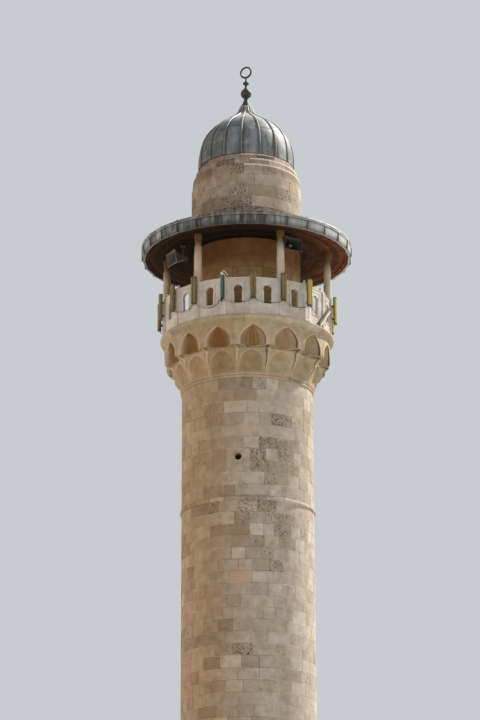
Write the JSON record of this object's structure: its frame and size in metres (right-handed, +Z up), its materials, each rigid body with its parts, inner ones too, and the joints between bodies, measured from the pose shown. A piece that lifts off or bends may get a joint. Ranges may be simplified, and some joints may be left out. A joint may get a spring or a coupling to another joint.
{
  "type": "minaret",
  "caption": "Round stone minaret with a square base, niched corbels, an arched parapet gallery under a round lead canopy on slender columns, a drum, a ribbed lead dome and a ring finial.",
  "frame": {"origin": "middle of the base's footprint, on the underside of the ground floor, at ground level", "axes": "+Z up along the tower's axis; -Y towards the pictured front, with the ground doorway at +Y; +X to the front's right"},
  "size_m": [5.6, 5.6, 28.503],
  "materials": {
    "limestone": "matte",
    "corbel_stone": "matte",
    "parapet_stone": "matte",
    "gallery_stone": "matte",
    "paving_stone": "matte",
    "soffit_timber": "matte",
    "lead_sheet": "satin",
    "finial_bronze": "satin",
    "horn_paint": "matte",
    "lamp_housing": "matte",
    "lamp_tube": "gloss"
  },
  "bodies": {
    "root": {"ground_floor": "paving_stone", "base_front_left": "limestone", "base_front_right": "limestone", "base_back_left": "limestone", "base_back_right": "limestone", "base_door_lintel": "limestone", "base_transition": "limestone", "shaft_foot": "limestone", "shaft_lower": "limestone", "string_course": "limestone", "shaft_upper": "limestone", "corbel_ring": "corbel_stone", "corbel_lower_tier": "corbel_stone", "corbel_upper_tier": "corbel_stone", "cornice": "corbel_stone", "gallery_floor": "paving_stone", "parapet_section_1": "parapet_stone", "parapet_section_2": "parapet_stone", "parapet_section_3": "parapet_stone", "parapet_section_4": "parapet_stone", "parapet_section_5": "parapet_stone", "parapet_section_6": "parapet_stone", "column_1": "parapet_stone", "column_2": "parapet_stone", "column_3": "parapet_stone", "column_4": "parapet_stone", "column_5": "parapet_stone", "column_6": "parapet_stone", "gallery_wall_left": "gallery_stone", "gallery_wall_right": "gallery_stone", "gallery_door_lintel": "gallery_stone", "canopy_soffit": "soffit_timber", "canopy_fascia": "lead_sheet", "canopy_roof": "lead_sheet", "upper_drum": "limestone", "drum_shoulder": "limestone", "dome": "lead_sheet", "finial": "finial_bronze", "finial_ring": "finial_bronze", "loudspeaker_front_left": "horn_paint", "loudspeaker_front_right": "horn_paint", "loudspeaker_back": "horn_paint", "lamp_string_front": "lamp_housing", "lamp_string_right": "lamp_housing", "lamp_string_left": "lamp_housing", "fallen_lamp": "lamp_tube"}
  },
  "joints": []
}
